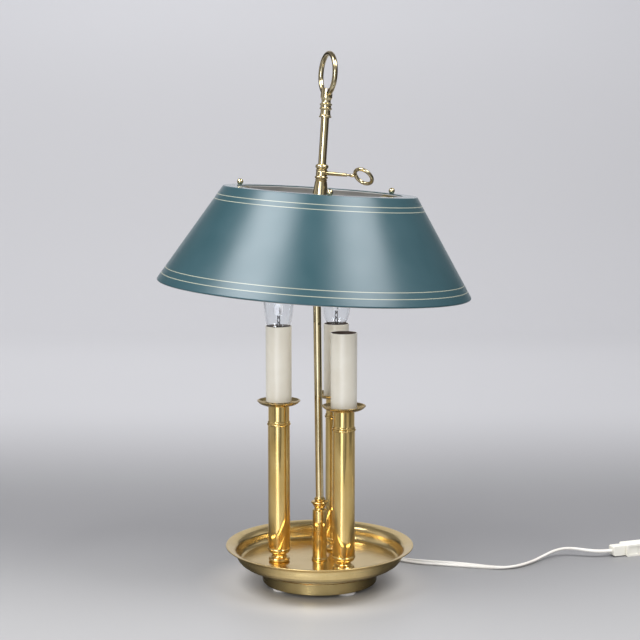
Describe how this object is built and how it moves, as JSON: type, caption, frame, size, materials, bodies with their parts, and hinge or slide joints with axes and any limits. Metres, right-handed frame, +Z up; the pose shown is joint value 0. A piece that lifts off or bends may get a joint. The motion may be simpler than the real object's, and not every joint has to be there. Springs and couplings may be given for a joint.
{
  "type": "bouillotte lamp",
  "caption": "Brass bouillotte table lamp: candle lights on a dish under one painted metal shade that slides on a central stem with a thumb key and a lifting ring.",
  "frame": {"origin": "on the table surface, under the centre of the dish", "axes": "+Z up, +X to the right and +Y to the back, with the front candle towards -Y and +X and the cord leaving at the back"},
  "size_m": [0.6761, 0.3242, 0.5555],
  "materials": {
    "spun_brass": "satin",
    "polished_brass": "polished",
    "plain_brass": "plain",
    "plated_steel": "plated",
    "iron": "cast",
    "felt_board": "felt",
    "pad_nylon": "matt",
    "sleeve_cream": "semi-gloss",
    "holder_plastic": "moulded",
    "bulb_glass": "clear",
    "bulb_inside": "wire and glass",
    "shade_paint": "semi-gloss paint, pale inside",
    "cord_cream": "extruded",
    "switch_cream": "moulded"
  },
  "bodies": {
    "base": {"foot_pads": "pad_nylon", "base_cover": "felt_board", "cover_screws": "plated_steel", "foot_ring": "spun_brass", "ballast": "iron", "dish": "spun_brass", "terminal_block": "switch_cream", "strain_relief": "switch_cream", "candle_foot_1": "polished_brass", "candle_foot_2": "polished_brass", "candle_foot_3": "polished_brass", "candle_tube_1": "polished_brass", "candle_tube_2": "polished_brass", "candle_tube_3": "polished_brass", "candle_neck_1": "polished_brass", "candle_neck_2": "polished_brass", "candle_neck_3": "polished_brass", "drip_pan_1": "spun_brass", "drip_pan_2": "spun_brass", "drip_pan_3": "spun_brass", "candle_sleeve_1": "sleeve_cream", "candle_sleeve_2": "sleeve_cream", "candle_sleeve_3": "sleeve_cream", "lamp_holder_1": "holder_plastic", "lamp_holder_2": "holder_plastic", "lamp_holder_3": "holder_plastic", "bulb_glass_1": "bulb_glass", "bulb_glass_3": "bulb_glass", "bulb_cap_1": "plated_steel", "bulb_cap_3": "plated_steel", "bulb_mount_1": "bulb_inside", "bulb_mount_3": "bulb_inside", "candle_rods": "plain_brass", "rod_nuts": "plated_steel", "candle_wires": "cord_cream", "stem_socket": "polished_brass", "stem_rod": "plain_brass", "stem_nut": "plated_steel", "stem_lower": "polished_brass", "stem_coupling": "polished_brass", "stem_upper": "polished_brass", "finial_collar": "polished_brass", "finial_ring": "polished_brass", "cord_lead": "cord_cream", "cord_run": "cord_cream", "cord_coil": "cord_cream", "switch_back": "switch_cream", "switch_front": "switch_cream", "switch_screws": "plated_steel", "plug_body": "switch_cream", "plug_pins": "plated_steel"},
    "slider": {"slider_collar": "polished_brass", "collar_nut": "plain_brass"},
    "shade": {"spider": "plain_brass", "shade": "shade_paint", "ball_screws": "polished_brass", "arm_nuts": "plated_steel"},
    "key": {"thumb_key": "polished_brass"},
    "rocker": {"switch_rocker": "switch_cream"}
  },
  "joints": [
    {"name": "shade_height", "type": "slide", "parent": "base", "child": "slider", "axis": [0.0645, 0, 0.9979], "range_m": [-0.037, 0.045]},
    {"name": "shade_turn", "type": "hinge", "parent": "slider", "child": "shade", "pos_m": [0.00012, 0, 0.40286], "axis": [0.0645, 0, 0.9979], "continuous": true},
    {"name": "key_turn", "type": "hinge", "parent": "slider", "child": "key", "pos_m": [0.00201, 0, 0.432], "axis": [0.8022, -0.5948, -0.0519], "range_deg": [0, 360]},
    {"name": "switch_rock", "type": "hinge", "parent": "base", "child": "rocker", "pos_m": [0.36807, 0.10779, 0.0065], "axis": [0, 0, 1], "range_deg": [0, 16]}
  ]
}
